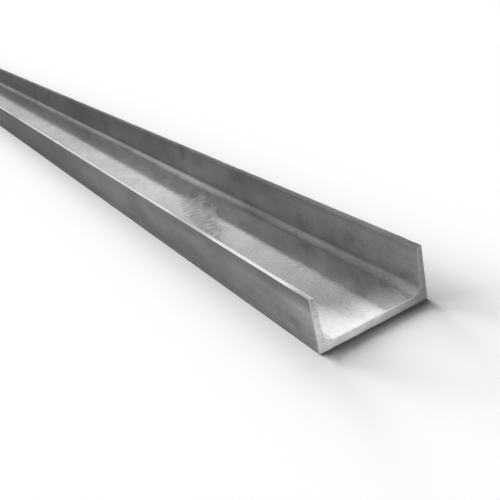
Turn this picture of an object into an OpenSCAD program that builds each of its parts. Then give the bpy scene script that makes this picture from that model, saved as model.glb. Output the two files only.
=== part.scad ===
// Rolled steel channel: a web and two flanges rolled as one piece, sawn square at both ends.
// It lies on the back of its web with the flanges standing up, the length along X.

/* [Section] */
// Depth of the section, over the backs of the two flanges
section_depth = 100; // [60:1:200]
// Width of each flange, from the back of the web to the toe
flange_width = 46; // [34:1:70]
// Thickness of the web
web_thickness = 7; // [4:0.1:12]
// Thickness of each flange, halfway up its inner face
flange_thickness = 5.2; // [5:0.1:12]
// Slope of the inner face of each flange, in percent
flange_slope = 4; // [0:0.5:10]

/* [Corners] */
// Radius of the fillet where each flange rises from the web
root_radius = 8.5; // [3:0.5:12]
// Radius that rounds the inner corner of each toe
toe_radius = 2.5; // [0.5:0.1:3.5]
// Radius of the outer corners, along the heels and the outside of the toes
arris_radius = 0.8; // [0.2:0.1:1.2]

/* [Stock] */
// Length of the bar from one saw cut to the other
bar_length = 3000; // [2000:10:12000]

/* [Hidden] */
$fn = 96;
half_depth = section_depth / 2;
lean = atan(flange_slope / 100);

// Inner face of a flange: its foot on the web and its thickness at the toe
inner_rise = flange_width - web_thickness;
foot_y = half_depth - flange_thickness - inner_rise / 2 * tan(lean);
tip_thickness = flange_thickness - inner_rise / 2 * tan(lean);

// Root fillet: touches the top of the web and the leaning inner face
root_z = web_thickness + root_radius;
root_y = foot_y - root_radius * (1 - sin(lean)) / cos(lean);

// Toe rounding: stays clear of the outer arris, so it never outgrows the tip
toe_room = (tip_thickness - arris_radius) * cos(lean) / (1 - sin(lean));
toe_r = min(toe_radius, toe_room);
toe_z = flange_width - toe_r;
toe_y = foot_y + ((toe_z - web_thickness) * sin(lean) + toe_r) / cos(lean);

// One copy on each side of the section
module both_sides() {
    children();
    mirror([1, 0])
        children();
}

// Outside of the section, a block with its four long corners rounded
module block() {
    across = half_depth - arris_radius;
    union() {
        translate([-across, 0])
            square([2 * across, flange_width]);
        translate([-half_depth, arris_radius])
            square([section_depth, flange_width - 2 * arris_radius]);
        both_sides() {
            translate([across, arris_radius])
                circle(r = arris_radius);
            translate([across, flange_width - arris_radius])
                circle(r = arris_radius);
        }
    }
}

// Half of the trough, with a chord at the root and a corner at the centre of the toe rounding
module half_trough() {
    polygon([
        [-1, web_thickness],
        [root_y, web_thickness],
        [root_y + root_radius * cos(lean), root_z - root_radius * sin(lean)],
        [toe_y - toe_r * cos(lean), toe_z + toe_r * sin(lean)],
        [toe_y, toe_z],
        [toe_y, flange_width + 1],
        [-1, flange_width + 1]
    ]);
}

// Open space between the flanges: hollow at the roots, giving way to the round toes
module trough() {
    difference() {
        union() {
            both_sides() {
                half_trough();
                translate([root_y, root_z])
                    circle(r = root_radius);
            }
        }
        both_sides()
            translate([toe_y, toe_z])
            circle(r = toe_r);
    }
}

// Section carried along the length, backs of the flanges facing -Y and +Y
module steel_channel() {
    color("SlateGray")
        rotate([90, 0, 90])
        linear_extrude(height = bar_length, center = true)
        difference() {
            block();
            trough();
        }
}

steel_channel();
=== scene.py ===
import math

import bpy
import numpy as np
from mathutils import Matrix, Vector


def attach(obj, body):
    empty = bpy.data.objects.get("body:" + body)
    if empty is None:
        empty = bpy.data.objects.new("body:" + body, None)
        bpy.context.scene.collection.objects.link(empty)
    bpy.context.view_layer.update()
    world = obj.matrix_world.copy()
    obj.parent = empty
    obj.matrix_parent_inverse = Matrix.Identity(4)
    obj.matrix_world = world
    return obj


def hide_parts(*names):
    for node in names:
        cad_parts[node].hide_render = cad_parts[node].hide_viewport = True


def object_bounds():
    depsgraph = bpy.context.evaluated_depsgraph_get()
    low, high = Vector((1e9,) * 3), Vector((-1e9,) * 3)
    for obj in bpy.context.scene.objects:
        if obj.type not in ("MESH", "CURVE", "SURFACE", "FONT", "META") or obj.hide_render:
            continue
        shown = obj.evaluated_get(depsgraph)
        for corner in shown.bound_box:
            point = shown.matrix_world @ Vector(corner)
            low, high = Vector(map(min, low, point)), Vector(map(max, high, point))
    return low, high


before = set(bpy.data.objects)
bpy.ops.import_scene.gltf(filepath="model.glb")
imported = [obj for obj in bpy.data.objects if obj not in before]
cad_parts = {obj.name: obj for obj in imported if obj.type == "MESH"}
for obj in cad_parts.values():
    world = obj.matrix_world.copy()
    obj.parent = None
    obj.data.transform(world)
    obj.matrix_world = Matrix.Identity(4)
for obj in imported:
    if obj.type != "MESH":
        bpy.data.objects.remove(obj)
cadLow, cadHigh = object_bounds()
print("frame loaded, CAD box", tuple(cadLow), tuple(cadHigh))

scene = bpy.context.scene
scene.view_settings.view_transform = "Standard"

# camera, worked out from the long edges' vanishing point and the corners of the sawn end
shot = {
    "fromEnd": (0.3879, -0.2593, 0.3006),  # metres from the foot of the near end
    "aim": (-0.8235, 0.3716, -0.4287),
    "roll": 12.88,                         # degrees, the upright leans left
    "focal": 747.9 / 500,                  # focal length over the picture's width
    "sensor": 36,
    "clip": (0.01, 200),
}


def makeCamera(s):
    # sideways = aim x up, top = sideways x aim, then both turned about the aim by the roll
    aim = np.array(s["aim"]) / np.linalg.norm(s["aim"])
    side = np.cross(aim, (0, 0, 1))
    side /= np.linalg.norm(side)
    top = np.cross(side, aim)
    roll = math.radians(s["roll"])
    c, t = math.cos(roll), math.sin(roll)
    turn = np.eye(4)
    turn[:3, 0], turn[:3, 1], turn[:3, 2] = c * side - t * top, c * top + t * side, -aim
    turn[:3, 3] = np.array(s["fromEnd"]) + (cadHigh.x, 0, 0)
    data = bpy.data.cameras.new("photoCamera")
    data.sensor_width = s["sensor"]
    data.lens = s["sensor"] * s["focal"]
    data.clip_start, data.clip_end = s["clip"]
    cam = bpy.data.objects.new("photoCamera", data)
    cam.matrix_world = Matrix(turn.tolist())
    scene.collection.objects.link(cam)
    scene.camera = cam


makeCamera(shot)
print("camera set")


# small helpers for node trees
def addNode(tree, kind, settings=None, values=None):
    # new node with its settings, and values on its sockets
    node = tree.nodes.new(kind)
    for name, value in (settings or {}).items():
        setattr(node, name, value)
    for name, value in (values or {}).items():
        node.inputs[name].default_value = value
    return node


def join(tree, source, target):
    # link from one socket to another
    tree.links.new(source, target)


def feed(tree, socket, value):
    # a number or colour is set on the socket, anything else is linked to it
    if isinstance(value, (int, float, tuple)):
        socket.default_value = value
    else:
        join(tree, value, socket)


def maths(tree, kind, a, b, clamp=False):
    # one math node on two numbers or sockets
    node = addNode(tree, "ShaderNodeMath", {"operation": kind, "use_clamp": clamp})
    feed(tree, node.inputs[0], a)
    feed(tree, node.inputs[1], b)
    return node.outputs[0]


def summed(tree, parts, shares):
    # each part times its share, added up
    total = maths(tree, "MULTIPLY", parts[0], shares[0])
    for part, share in zip(parts[1:], shares[1:]):
        total = maths(tree, "ADD", total, maths(tree, "MULTIPLY", part, share))
    return total


def ranged(tree, value, low, high, toLow, toHigh):
    # straight line from toLow at low to toHigh at high, held beyond them
    node = addNode(tree, "ShaderNodeMapRange")
    join(tree, value, node.inputs["Value"])
    for name, number in (("From Min", low), ("From Max", high), ("To Min", toLow), ("To Max", toHigh)):
        node.inputs[name].default_value = number
    return node.outputs["Result"]


def blended(tree, factor, a, b):
    # colour a where the factor is 0, colour b where it is 1
    node = addNode(tree, "ShaderNodeMix", {"data_type": "RGBA"})
    for slot, value in ((0, factor), (6, a), (7, b)):
        feed(tree, node.inputs[slot], value)
    return node.outputs[2]


def scaled(tree, colour, factor):
    # colour times a number
    node = addNode(tree, "ShaderNodeVectorMath", {"operation": "SCALE"})
    join(tree, colour, node.inputs[0])
    join(tree, factor, node.inputs["Scale"])
    return node.outputs[0]


def noiseOn(tree, coords, scale, stretch, detail, rough, shift):
    # noise on object coordinates; stretch divides the frequency along each axis
    mapping = addNode(tree, "ShaderNodeMapping")
    mapping.inputs["Location"].default_value = shift
    mapping.inputs["Scale"].default_value = [1 / s for s in stretch]
    join(tree, coords, mapping.inputs["Vector"])
    noise = addNode(tree, "ShaderNodeTexNoise", None, {"Scale": scale, "Detail": detail, "Roughness": rough})
    join(tree, mapping.outputs[0], noise.inputs["Vector"])
    return noise.outputs[0]


def attributeOn(tree, name):
    # number kept on the mesh under that name
    return addNode(tree, "ShaderNodeAttribute", {"attribute_name": name}).outputs["Fac"]


# studio: pale floor, white surround that dims as a lamp, and wide soft lamps behind the bar
studio = {
    "floorSize": 60.0,
    "floorColour": (0.97, 0.97, 0.97, 1),
    "floorRough": 0.9,
    "surroundAsLamp": 0.06,
    "lamps": {  # angles in degrees
        "softLampBack": {"level": 0.69, "azimuth": 184, "elevation": 15, "spread": 44},
        "softLampLeft": {"level": 0.17, "azimuth": 224, "elevation": 32, "spread": 34},
        "softLampRight": {"level": 0.10, "azimuth": 145, "elevation": 42, "spread": 34},
    },
}


def makeStudio(s):
    # a level floor sheet, the surround over it, and one sun lamp for each row of lamps
    half = s["floorSize"] / 2
    corners = [(-half, -half, 0), (half, -half, 0), (half, half, 0), (-half, half, 0)]
    mesh = bpy.data.meshes.new("studioFloor")
    mesh.from_pydata(corners, [], [(0, 1, 2, 3)])
    floor = bpy.data.objects.new("studioFloor", mesh)
    scene.collection.objects.link(floor)
    paper = bpy.data.materials.new("floorPaper")
    paper.use_nodes = True
    shader = paper.node_tree.nodes["Principled BSDF"]
    shader.inputs["Base Color"].default_value = s["floorColour"]
    shader.inputs["Roughness"].default_value = s["floorRough"]
    shader.inputs["Specular IOR Level"].default_value = 0.0
    mesh.materials.append(paper)

    world = bpy.data.worlds.new("studioSurround")
    world.use_nodes = True
    scene.world = world
    tree = world.node_tree
    path = addNode(tree, "ShaderNodeLightPath")
    # seen straight or in the steel it is white, but what the steel throws back on the floor is dim too
    fresh = maths(tree, "LESS_THAN", path.outputs["Diffuse Depth"], 0.5)
    mirrored = maths(tree, "MULTIPLY", path.outputs["Is Glossy Ray"], fresh)
    seen = maths(tree, "MAXIMUM", path.outputs["Is Camera Ray"], mirrored)
    seen = maths(tree, "MAXIMUM", seen, path.outputs["Is Transmission Ray"])
    back = tree.nodes["Background"]
    back.inputs["Color"].default_value = (1, 1, 1, 1)
    join(tree, ranged(tree, seen, 0, 1, s["surroundAsLamp"], 1), back.inputs["Strength"])

    for name, lamp in s["lamps"].items():
        # level is what a level white sheet would send back: strength = pi x level / sine of the height
        data = bpy.data.lights.new(name, "SUN")
        a, e = math.radians(lamp["azimuth"]), math.radians(lamp["elevation"])
        data.energy = math.pi * lamp["level"] / math.sin(e)
        data.angle = math.radians(lamp["spread"])
        sun = bpy.data.objects.new(name, data)
        towards = np.array((math.cos(a) * math.cos(e), math.sin(a) * math.cos(e), math.sin(e)))
        across = np.cross((0, 0, 1), towards)
        across /= np.linalg.norm(across)
        turn = np.eye(4)
        turn[:3, 0], turn[:3, 1], turn[:3, 2] = across, np.cross(towards, across), towards
        sun.matrix_world = Matrix(turn.tolist())
        sun.visible_glossy = False  # the steel mirrors the plain surround, not the lamps
        scene.collection.objects.link(sun)


makeStudio(studio)
print("studio set")

# the bar, at the source's own sizes, in metres; left and right are as seen from the nearer end
bar = {
    "piece": "rolled_channel",
    "depth": cadHigh.y - cadLow.y,
    "flange": cadHigh.z - cadLow.z,
    "length": cadHigh.x - cadLow.x,
    "web": 0.007,
    "flangeThick": 0.0052,
    "slope": 0.04,
    "root": 0.0085,
    "toe": 0.0025,
    "arris": 0.0008,
    "endArris": 0.0005,           # rounding of the sawn edges
    "rings": 690,                 # steps along the bar
    "firstStep": 0.0005,          # the one next to a sawn edge
    "evenSteps": 0.45,            # share of the length in even steps, the rest lengthen by a power
    "stepPower": 1.6,
    "wave": 0.00004,              # depth of the swell left by the rolls
    "waves": 9,
    "waveAlong": (0.06, 0.5),     # shortest and longest wave along the bar
    "waveRound": (0.03, 0.12),    # and round its girth
    "nicks": 46,                  # knocks along each toe
    "nickDepth": 0.00035,
    "nickShare": (0.2, 1.0),      # least and greatest share of that depth
    "nickWidth": (0.003, 0.009),
    "nickFade": 0.002,            # how soon a knock dies away from the toe
    "seed": 11,
    "wearFade": 0.0005,           # how soon the rubbing dies away from an edge
    "toeBright": 0.0030,          # width of the painted highlight along the toe at y below zero
    "toeOther": 0.15,             # how much of it the other toe has
    "toeShade": 0.6,               # painted shade: tone of the other toe
    "stainRight": 0.65,           # share of a duller patch left at the right
    "highlightRoot": 0.45,             # how much of the painted highlight the right fillet has
    # degrees by which the inside has turned up where a zone ends, and where it is full
    "webTurn": (13, 3),
    "filletTurn": (72, 47),
    "highlightLeftTurn": (82, 67),
    "highlightRightTurn": (65, 25),
    "lineTurn": (48, 13),         # middle and width of the painted highlight line in the fillets
    "bandEdge": (0.006, 0.013),   # where the web's painted light at the right begins, and where it is full
    # place along the bar, reach, strength, and slant as along over across
    "stains": [                   # duller patches on the web
        (-1.31, 0.06, 0.7, 1.2), (-0.94, 0.09, 0.9, -0.8),
        (-0.50, 0.06, 0.6, 0.5), (-0.10, 0.10, 0.8, -0.3),
        (0.36, 0.06, 0.3, 0.9), (0.72, 0.08, 0.3, -0.6),
        (1.215, 0.05, 1.0, 2.2), (1.385, 0.035, 0.3, 0.7),
    ],
    "toeGaps": [                  # dull stretches of the painted toe highlight
        (-1.41, 0.02, 0.4, 0), (-1.12, 0.04, 0.6, 0), (-0.45, 0.05, 0.5, 0), (0.14, 0.04, 0.6, 0),
        (0.63, 0.03, 0.4, 0), (1.305, 0.04, 0.42, 0), (1.50, 0.025, 0.6, 0),
    ],
    # painted light and shade against distance from the nearer end, straight lines between the stops
    "webFall": [(0.03, 0.78), (0.42, 1.60), (0.80, 1.50), (1.10, 1.35)],
    "bandFall": [(0.34, 1.0), (0.42, 1.15), (1.1, 1.15), (1.45, 1.0)],  # share of webFall at the right
    "outerFall": [(0, 1.6), (0.05, 1.25), (0.2, 0.9), (0.42, 1.0), (0.5, 0.72), (0.65, 0.58), (0.85, 0.45)],
    "innerFall": [(0, 2.3), (0.05, 2.1), (0.2, 1.6), (0.36, 1.62), (0.5, 1.6), (0.85, 1.4), (1.2, 1.55)],
    "filletFall": [(0.16, 0.90), (0.235, 0.74), (0.30, 1.0), (0.38, 1.6), (0.60, 1.0)],
    "lineFall": [(0, 0.3), (0.05, 0), (0.12, 0.4), (0.22, 0.1), (0.30, 0.55), (0.38, 1.0), (0.50, 0.8)],
    # painted shade and light at the sawn ends' corners: tone, then the height where it ends and where it is
    # full
    "underToe": (0.55, 0.012, 0.006),    # painted shade outside, heights below the toes
    "overHeel": (0.80, 0.0096, 0.0016),  # painted shade outside, heights above the floor
    "insideTop": (1.45, 0.020, 0.032),   # painted light inside, heights above the floor
    "endReach": 0.2,                     # metres over which it dies away along the bar
}


def arc(cy, cz, r, start, stop, steps):
    # points on a circle, angles in degrees, both ends kept
    a = np.radians(np.linspace(start, stop, steps + 1))
    return np.stack((cy + r * np.cos(a), cz + r * np.sin(a)), 1)


def line(p, q, steps, close=0.0004):
    # straight run with one point close to each end, so the flat stays flat up to the curve
    p, q = np.array(p), np.array(q)
    part = close / np.linalg.norm(q - p)
    t = np.concatenate(([0], np.linspace(part, 1 - part, steps - 1), [1]))
    return p + (q - p) * t[:, None]


def chain(*runs):
    # runs joined end to end, each shared point kept once
    return np.concatenate([runs[0]] + [r[1:] for r in runs[1:]])


def sectionPaths(b):
    # outside and inside of the section, each from the right toe round to the left one, point for point:
    # each run ends with its number of steps, and both halves add up to the same
    half, a, r, toe = b["depth"] / 2, b["arris"], b["root"], b["toe"]
    lean = math.atan(b["slope"])
    rise = b["flange"] - b["web"]
    foot = half - b["flangeThick"] - rise / 2 * b["slope"]
    rootZ = b["web"] + r
    rootY = foot - r * (1 - math.sin(lean)) / math.cos(lean)
    toeZ = b["flange"] - toe
    toeY = foot + ((toeZ - b["web"]) * math.sin(lean) + toe) / math.cos(lean)
    toeFoot = (toeY - toe * math.cos(lean), toeZ + toe * math.sin(lean))
    rootTop = (rootY + r * math.cos(lean), rootZ - r * math.sin(lean))
    tilt = math.degrees(lean)
    outside = chain(
        arc(half - a, b["flange"] - a, a, 90, 0, 3),
        line((half, b["flange"] - a), (half, rootTop[1]), 7),
        line((half, rootTop[1]), (half, a), 5),
        arc(half - a, a, a, 0, -90, 3),
        line((half - a, 0), (rootY, 0), 6),
        line((rootY, 0), (0, 0), 7),
    )
    inside = chain(
        arc(toeY, toeZ, toe, 90, 180 - tilt, 4),
        line(toeFoot, rootTop, 6),
        arc(rootY, rootZ, r, -tilt, -90, 14),
        line((rootY, b["web"]), (0, b["web"]), 7),
    )
    flip = np.array((-1, 1))
    return chain(outside, outside[::-1] * flip), chain(inside, inside[::-1] * flip)


def outwards(ring):
    # outward normal of a closed outline that runs clockwise: the chord across each point, turned a quarter
    along = np.roll(ring, -1, 0) - np.roll(ring, 1, 0)
    out = np.stack((-along[:, 1], along[:, 0]), 1)
    return out / np.linalg.norm(out, axis=1)[:, None]


def barStations(b):
    # x of each ring and how far it is drawn in: quarter circle at each end, then steps that lengthen
    e, first, even = b["endArris"], b["firstStep"], b["evenSteps"]
    turn = np.radians((90, 60, 30, 0))
    offEnd = e - e * np.sin(turn)
    drawn = e - e * np.cos(turn)
    span = b["length"] / 2
    grow = np.linspace(0, 1, b["rings"] // 2)
    offMid = e + first + (span - e - first) * (even * grow + (1 - even) * grow ** b["stepPower"])
    off = np.concatenate((offEnd, offMid))
    inset = np.concatenate((drawn, np.zeros(len(offMid))))
    x = np.concatenate((-span + off, (span - off)[::-1][1:]))
    return x, np.concatenate((inset, inset[::-1][1:]))


def swell(x, girth, b, rng):
    # mean of slow sines over length and girth, between -1 and 0, so it never leaves the section
    total = np.zeros((len(x), len(girth)))
    for _ in range(b["waves"]):
        along, around = rng.uniform(*b["waveAlong"]), rng.uniform(*b["waveRound"])
        start = rng.uniform(0, 6.3)  # anywhere in a turn
        total += np.sin(2 * np.pi * (x[:, None] / along + girth / around) + start) / b["waves"]
    return total * 0.5 - 0.5


def knocks(x, b, rng):
    # depth of the dents along one toe: round bumps at chosen places
    at = rng.uniform(-b["length"] / 2, b["length"] / 2, b["nicks"])
    wide = rng.uniform(*b["nickWidth"], b["nicks"])
    deep = b["nickDepth"] * rng.uniform(*b["nickShare"], b["nicks"])
    return (deep * np.exp(-((x[:, None] - at) / wide) ** 2)).sum(1).clip(0, b["nickDepth"])


def patches(x, y, chosen, power):
    # strength of the duller patches at each place: a bell curve about each chosen one, moved along
    # by slant times y; its exponent is a power of distance over reach, 2 for a round top, 4 for a flat one
    at, reach, strength, slant = np.array(chosen).T
    off = (x[:, None, None] + slant * y[None, :, None] - at) / reach
    return (strength * np.exp(-np.abs(off) ** power)).sum(-1).clip(0, 1)


def falls(offEnd, stops):
    # tone at each distance from the end: straight lines between the stops, one row a ring
    at, level = np.array(stops).T
    return np.interp(offEnd, at, level)[:, None]


def ramp(value, none, full):
    # 0 at one bound and 1 at the other, a straight line between them
    return np.clip((value - none) / (full - none), 0, 1)


def barZones(b, x, ring, isInside):
    # what the material is told at each point of each ring
    half = b["depth"] / 2
    side, z = ring[:, 0], ring[:, 1]
    fromBack = half - np.abs(side)
    belowToe = b["flange"] - z
    offEnd = np.minimum(x + b["length"] / 2, b["length"] / 2 - x)
    across = np.sign(x)[:, None] * side  # as seen from the nearer end, left below zero

    # edge wear: 1 on the heels and sawn edges, dying away from them
    fromHeel = np.maximum(np.hypot(fromBack, z) - b["arris"] / 2, 0)
    wear = np.maximum(np.exp(-fromHeel / b["wearFade"]), np.exp(-offEnd / b["wearFade"])[:, None])

    # painted toe highlight: full over half its width and gone at one and a half, inwards and downwards
    onTop = ramp(belowToe, 1.5 * b["arris"], 0.5 * b["arris"])
    toeHighlight = onTop * ramp(fromBack, 1.5 * b["toeBright"], 0.5 * b["toeBright"])
    toeHighlight = toeHighlight * np.where(side < 0, 1, b["toeOther"])
    toeHighlight = toeHighlight * (1 - patches(x, side, b["toeGaps"], 4))

    # how far the inside has turned up, in degrees: 0 on the web, 90 on the flanges,
    # and in the fillet the arccos of what is left of the rise
    turned = np.degrees(np.arccos(np.clip(1 - (z - b["web"]) / b["root"], 0, 1)))
    webZone = isInside * ramp(turned, *b["webTurn"])
    filletZone = isInside * ramp(turned, *b["filletTurn"])
    lineAt, lineWide = b["lineTurn"]
    filletLine = isInside * np.exp(-((turned - lineAt) / lineWide) ** 2) * falls(offEnd, b["lineFall"])

    # painted highlight: the whole web, the left fillet and part of the right one
    leftFillet = ramp(turned, *b["highlightLeftTurn"])
    rightFillet = b["highlightRoot"] * ramp(turned, *b["highlightRightTurn"])
    highlightZone = np.maximum(webZone, isInside * np.where(across < 0, leftFillet, rightFillet))

    # duller patches, weaker from the middle of the web to half way to the right
    stain = webZone * patches(x, side, b["stains"], 2)
    stain *= np.interp(across, (0, half / 2), (1, b["stainRight"]))

    # painted light and shade along the bar: the flange's own, then the fillet's and the web's over it, then
    # the other toe's painted shade, which takes in the rounding inside down to one and a quarter of its
    # radius
    fall = np.where(isInside > 0, falls(offEnd, b["innerFall"]), falls(offEnd, b["outerFall"]))
    fall += filletZone * (falls(offEnd, b["filletFall"]) - fall)
    band = 1 + ramp(across, *b["bandEdge"]) * (falls(offEnd, b["bandFall"]) - 1)
    fall += webZone * (falls(offEnd, b["webFall"]) * band - fall)
    rounding = np.where(isInside > 0, ramp(belowToe, 1.25 * b["toe"], 0.42 * b["toe"]), onTop)
    fall += rounding * (side > 0) * (b["toeShade"] - fall)

    # painted shade and light at the corners of the sawn ends: each tone comes in over its own heights, and
    # dies away along the bar
    isOuter = (1 - isInside) * (fromBack < 2 * b["arris"])
    dying = np.exp(-offEnd / b["endReach"])[:, None]
    corners = ((isOuter, belowToe, "underToe"), (isOuter, z, "overHeel"), (isInside, z, "insideTop"))
    for zone, height, name in corners:
        tone, ends, full = b[name]
        fall *= 1 + (tone - 1) * zone * ramp(height, ends, full) * dying

    return {"edgeWear": wear, "toeHighlight": toeHighlight, "webZone": webZone, "filletLine": filletLine,
            "highlightZone": highlightZone, "stain": stain, "fall": fall}


def makeBar(b):
    # the section's outline carried along the bar, sunk by the swell, the knocks and the sawn edges' rounding
    rng = np.random.default_rng(b["seed"])
    outside, inside = sectionPaths(b)
    n = len(outside)
    midLeft = (outside[-1:] + inside[-1:]) / 2
    midRight = (outside[:1] + inside[:1]) / 2
    ring = np.concatenate((outside, midLeft, inside[::-1], midRight))
    k = len(ring)
    isInside = np.zeros(k)
    isInside[n + 1:2 * n + 1] = 1
    x, inset = barStations(b)

    side, z = ring[:, 0], ring[:, 1]
    steps = np.linalg.norm(np.roll(ring, -1, 0) - ring, axis=1)
    girth = np.concatenate(([0], np.cumsum(steps)[:-1]))
    offToe = np.maximum(b["depth"] / 2 - b["flangeThick"] - np.abs(side), 0)
    nearToe = np.exp(-np.hypot(offToe, b["flange"] - z) / b["nickFade"])
    sink = b["wave"] * -swell(x, girth, b, rng)
    for thisToe in (nearToe * (side > 0), nearToe * (side < 0)):
        sink += knocks(x, b, rng)[:, None] * thisToe
    sink += inset[:, None]
    points = np.empty((len(x), k, 3))
    points[:, :, 0] = x[:, None]
    points[:, :, 1:] = ring - outwards(ring) * sink[:, :, None]

    # sides: each ring joined to the next
    index = np.arange(len(x) * k).reshape(len(x), k)
    nextRound = np.roll(index, -1, 1)
    sides = np.stack((index[:-1], index[1:], nextRound[1:], nextRound[:-1]), 2).reshape(-1, 4)

    # sawn ends: a strip of quads from the outside to the inside of the section
    middle = (points[:, :n] + points[:, n + 1:2 * n + 1][:, ::-1]) / 2
    extra = np.stack((middle[0, 1:-1], middle[-1, 1:-1]))
    caps = []
    for end, row in ((0, 0), (1, len(x) - 1)):
        outer = index[row, :n]
        inner = index[row, n + 1:2 * n + 1][::-1]
        own = len(x) * k + end * (n - 2) + np.arange(n - 2)
        centre = np.concatenate((index[row, -1:], own, index[row, n:n + 1]))
        for first, second in ((outer, centre), (centre, inner)):
            quads = np.stack((first[:-1], first[1:], second[1:], second[:-1]), 1)
            caps.append(quads if end == 0 else quads[:, ::-1])
    faces = np.concatenate([sides] + caps)
    verts = np.concatenate((points.reshape(-1, 3), extra.reshape(-1, 3)))

    # enclosed volume, above zero when the faces look outwards
    p, q, r, s = (verts[faces[:, corner]] for corner in range(4))
    print("bar volume", (p * (np.cross(q, r) + np.cross(r, s))).sum() / 6, "faces", len(faces))

    mesh = bpy.data.meshes.new(b["piece"])
    mesh.vertices.add(len(verts))
    mesh.vertices.foreach_set("co", verts.ravel())
    mesh.loops.add(faces.size)
    mesh.loops.foreach_set("vertex_index", faces.ravel().astype(np.int32))
    mesh.polygons.add(len(faces))
    mesh.polygons.foreach_set("loop_start", np.arange(0, faces.size, 4, dtype=np.int32))
    isSide = np.arange(len(faces)) < len(sides)
    mesh.polygons.foreach_set("use_smooth", isSide)
    mesh.update(calc_edges=True)
    mesh.validate()

    # the points inside the sawn ends keep 0
    for name, grid in barZones(b, x, ring, isInside).items():
        values = np.zeros(len(verts), np.float32)
        values[:len(x) * k] = np.broadcast_to(grid, (len(x), k)).ravel()
        mesh.attributes.new(name, "FLOAT", "POINT").data.foreach_set("value", values)
    isEnd = (~isSide).astype(np.float32)
    mesh.attributes.new("sawnEnd", "FLOAT", "FACE").data.foreach_set("value", isEnd)
    piece = bpy.data.objects.new(b["piece"], mesh)
    scene.collection.objects.link(piece)
    return piece


# rolled steel: grey scale, the web painted lighter and the flanges darker as light and shade, painted
# highlights along one toe and near the sawn ends
steel = {
    # the web's tones are painted lighter than the flanges' below, standing in for light on the web and shade
    # on the flanges
    "webDark": (0.36, 0.36, 0.36, 1),
    "webLight": (0.54, 0.54, 0.54, 1),
    "webStained": (0.28, 0.28, 0.28, 1),
    "flangeDark": (0.15, 0.15, 0.15, 1),
    "flangeLight": (0.30, 0.30, 0.30, 1),
    "flangeMark": (0.10, 0.10, 0.10, 1),
    "markStrength": 0.4,
    "fillet": (0.48, 0.48, 0.48, 1),    # painted highlight line in the fillets
    "filletLeast": 0.35,                # share of it left between the clouds
    "paintedHighlight": (0.97, 0.97, 0.97, 1),      # painted highlight on the last stretch of the web
    # painted highlight along one toe
    "toe": (0.88, 0.88, 0.88, 1),
    "heel": (0.36, 0.36, 0.36, 1),      # rubbed lighter than the scale beside it
    "rubLeast": 0.6,                    # share of the rubbing left between the specks
    "sawnEdge": (0.62, 0.62, 0.62, 1),
    "sawnEdgeReach": (0.001, 0.004),    # metres from the end where it starts to fade, and where it is gone
    "edgeTint": (0.65, 0.65, 0.65, 1),  # of what is mirrored at a flat angle
    "sawnDark": (0.84, 0.84, 0.84, 1),
    "sawnLight": (0.97, 0.97, 0.97, 1),
    # painted shade and light on the sawn ends, as shares of those two: at the right edge, the left toe, the
    # whole left flange and the right half
    "sawnFall": 0.42,
    "sawnTop": 0.62,
    "sawnLeft": 0.90,
    "sawnRight": 1.08,
    # where each of the four begins or changes over, across the bar, but sawnTop by its height
    "sawnFallFrom": -0.012,
    "sawnTopFrom": 0.026,
    "sawnLeftEdge": (-0.046, -0.041),
    "sawnRightEdge": (-0.02, 0),
    "highlightReach": (0.115, 0.043),        # metres over which the painted highlight fades, at the left fillet and beyond
    "highlightEdge": (-0.030, -0.012),       # where across the bar the one reach becomes the other
    "highlightEase": 1.5,                    # how quickly it falls off at first
    "highlightRagged": 0.006,                # how far the mottling moves its edge
    "highlightRight": 0.62,                  # its strength at the right
    "highlightRough": 0.8,                   # on the fillet, where the painted highlight turns up
    "webRough": 0.11,
    "flangeRough": 0.42,
    "sawnRough": 0.95,
    "stainRough": 0.40,                 # in the web's duller patches
    "stainRagged": 0.2,                 # how far the blotches move their edges
    "stainFull": 0.9,                   # strength at which a patch is at its dullest
    "roughMottle": 0.02,                # change of roughness with the mottling, either way
    "ripple": 3.5,                      # long ripples of the scale, against the specks' height
    "relief": {"Strength": 0.06, "Distance": 0.0003},
    # scale, stretch along each axis, detail, roughness, shift
    "noises": {
        "clouds": (16, (2.4, 1, 1), 5, 0.6, (0, 0, 0)),
        "specks": (420, (1.5, 1, 1), 3, 0.65, (3, 1, 2)),
        "streaks": (140, (90, 1, 1), 3, 0.5, (1, 5, 4)),
        "blotches": (55, (1.6, 1, 1), 3, 0.5, (4, 9, 1)),
        "flecks": (150, (1, 1.5, 1), 5, 0.65, (7, 2, 0)),
        "worn": (26, (1.3, 1, 1), 4, 0.6, (6, 3, 8)),
        "marks": (70, (2.5, 1, 1), 4, 0.6, (2, 8, 5)),
        "saw": (700, (1, 9, 1), 2, 0.5, (0, 0, 0)),
        "ripples": (170, (1.5, 1, 1), 2, 0.5, (9, 4, 6)),
    },
    # values of the noise that become none and full
    "spans": {
        "clouds": (0.35, 0.65), "specks": (0.35, 0.6), "streaks": (0.35, 0.65), "blotches": (0.40, 0.60),
        "flecks": (0.36, 0.55), "worn": (0.36, 0.64), "marks": (0.58, 0.70), "saw": (0.35, 0.65),
        "mottle": (0.37, 0.63),
    },
    # shares of clouds and specks, of mottle and blotches, and of mottle, streaks and worn places
    "mottleMix": (0.55, 0.45),
    "webMix": (0.7, 0.3),
    "flangeMix": (0.45, 0.15, 0.40),
}


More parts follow.
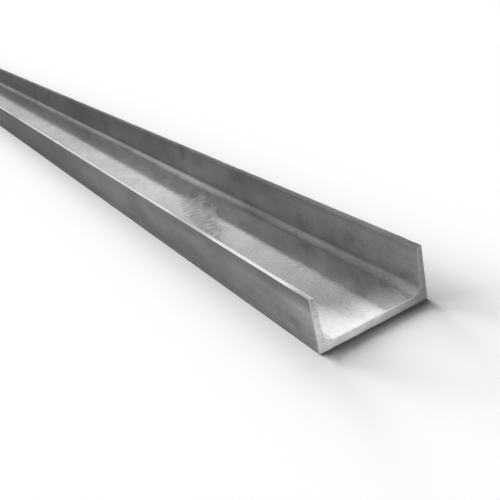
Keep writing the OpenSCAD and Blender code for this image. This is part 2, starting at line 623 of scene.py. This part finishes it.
def makeSteel(s, b):
    # tones laid over each other, from the web and flanges to the sawn ends, then roughness and relief
    mat = bpy.data.materials.new("rolledSteel")
    mat.use_nodes = True
    tree = mat.node_tree
    shader = tree.nodes["Principled BSDF"]
    shader.inputs["Metallic"].default_value = 1.0
    shader.inputs["Specular Tint"].default_value = s["edgeTint"]
    coords = addNode(tree, "ShaderNodeTexCoord").outputs["Object"]
    noise = {name: noiseOn(tree, coords, *given) for name, given in s["noises"].items()}
    web, cut = attributeOn(tree, "webZone"), attributeOn(tree, "sawnEnd")
    half = b["depth"] / 2

    def spread(name, least=0, most=1):
        # the named noise, from least where it is none to most where it is full
        return ranged(tree, noise[name], *s["spans"][name], least, most)

    # distance from the nearer sawn end = half the length less |x|
    apart = addNode(tree, "ShaderNodeSeparateXYZ")
    join(tree, coords, apart.inputs[0])
    fromEnd = maths(tree, "SUBTRACT", b["length"] / 2, maths(tree, "ABSOLUTE", apart.outputs["X"], 0))
    # place across the bar as seen from that end, left below zero = y times the sign of x
    across = maths(tree, "MULTIPLY", apart.outputs["Y"], maths(tree, "SIGN", apart.outputs["X"], 0))

    # mottle: clouds of lighter and darker scale drawn out along the bar, with specks
    noise["mottle"] = summed(tree, (noise["clouds"], noise["specks"]), s["mottleMix"])
    mottle = spread("mottle")

    # web: mottled and blotched, with duller patches broken into flecks
    blotches = spread("blotches")
    webMix = summed(tree, (mottle, blotches), s["webMix"])
    webTone = blended(tree, webMix, s["webDark"], s["webLight"])
    uneven = ranged(tree, blotches, 0, 1, -s["stainRagged"], s["stainRagged"])
    stain = maths(tree, "ADD", attributeOn(tree, "stain"), uneven)
    stain = ranged(tree, stain, s["stainRagged"], s["stainFull"], 0, 1)
    flecked = maths(tree, "MULTIPLY", stain, spread("flecks"))
    webTone = blended(tree, flecked, webTone, s["webStained"])

    # flanges: mottled, worn and lightly streaked, with a few dark marks
    flangeMix = summed(tree, (mottle, spread("streaks"), spread("worn")), s["flangeMix"])
    flangeTone = blended(tree, flangeMix, s["flangeDark"], s["flangeLight"])
    flangeTone = blended(tree, spread("marks", 0, s["markStrength"]), flangeTone, s["flangeMark"])

    # both times the painted light and shade along the bar, then the painted highlight line along the fillets
    tone = scaled(tree, blended(tree, web, flangeTone, webTone), attributeOn(tree, "fall"))
    patchy = maths(tree, "MULTIPLY", attributeOn(tree, "filletLine"), spread("clouds", s["filletLeast"]))
    tone = blended(tree, patchy, tone, s["fillet"])

    # painted highlight towards the end: (1 - distance / reach) to a power, the reach longest at the left
    # fillet
    reach = ranged(tree, across, *s["highlightEdge"], *s["highlightReach"])
    ragged = ranged(tree, webMix, 0, 1, s["highlightRagged"], -s["highlightRagged"])
    gone = maths(tree, "DIVIDE", maths(tree, "ADD", fromEnd, ragged), reach)
    paintedHighlight = maths(tree, "POWER", maths(tree, "SUBTRACT", 1, gone, True), s["highlightEase"])
    paintedHighlight = maths(tree, "MULTIPLY", paintedHighlight, ranged(tree, across, 0, half, 1, s["highlightRight"]))
    paintedHighlight = maths(tree, "MULTIPLY", paintedHighlight, attributeOn(tree, "highlightZone"))
    tone = blended(tree, paintedHighlight, tone, s["paintedHighlight"])

    # painted highlight on the toe, heels and sawn edges rubbed, the sawn edges with painted shade towards
    # the right
    tone = blended(tree, attributeOn(tree, "toeHighlight"), tone, s["toe"])
    toRight = ranged(tree, across, s["sawnFallFrom"], half, 1, s["sawnFall"])
    rub = maths(tree, "MULTIPLY", attributeOn(tree, "edgeWear"), spread("specks", s["rubLeast"]))
    nearEnd = ranged(tree, fromEnd, *s["sawnEdgeReach"], 1, 0)
    rubbed = blended(tree, nearEnd, s["heel"], s["sawnEdge"])
    edgeShade = maths(tree, "MAXIMUM", toRight, maths(tree, "SUBTRACT", 1, nearEnd))
    tone = blended(tree, rub, tone, scaled(tree, rubbed, edgeShade))

    # sawn ends, with fine lines across, painted shade towards the right and the left toe
    sawn = blended(tree, spread("saw"), s["sawnDark"], s["sawnLight"])
    share = ranged(tree, apart.outputs["Z"], s["sawnTopFrom"], b["flange"], 1, s["sawnTop"])
    share = maths(tree, "MULTIPLY", share, ranged(tree, across, *s["sawnLeftEdge"], s["sawnLeft"], 1))
    share = maths(tree, "MAXIMUM", share, ranged(tree, across, *s["sawnRightEdge"], 0, s["sawnRight"]))
    sawn = scaled(tree, sawn, maths(tree, "MULTIPLY", toRight, share))
    join(tree, blended(tree, cut, tone, sawn), shader.inputs["Base Color"])

    # roughness: the flange's and that under the painted highlight, the web's over it, raised in its patches
    # and on the ends
    rough = ranged(tree, paintedHighlight, 0, 1, s["flangeRough"], s["highlightRough"])
    change = maths(tree, "MULTIPLY", web, maths(tree, "SUBTRACT", s["webRough"], rough))
    rough = maths(tree, "ADD", rough, change)
    rough = maths(tree, "MAXIMUM", rough, maths(tree, "MULTIPLY", stain, s["stainRough"]))
    rough = maths(tree, "ADD", rough, ranged(tree, mottle, 0, 1, s["roughMottle"], -s["roughMottle"]))
    rough = maths(tree, "MAXIMUM", rough, maths(tree, "MULTIPLY", cut, s["sawnRough"]))
    join(tree, rough, shader.inputs["Roughness"])

    # relief: specks on long ripples
    height = summed(tree, (noise["specks"], noise["ripples"]), (1, s["ripple"]))
    bump = addNode(tree, "ShaderNodeBump", None, s["relief"])
    join(tree, height, bump.inputs["Height"])
    join(tree, bump.outputs[0], shader.inputs["Normal"])
    return mat


piece = makeBar(bar)
piece.data.materials.append(makeSteel(steel, bar))
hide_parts("steel_channel")
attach(piece, "root")
print("bar made")
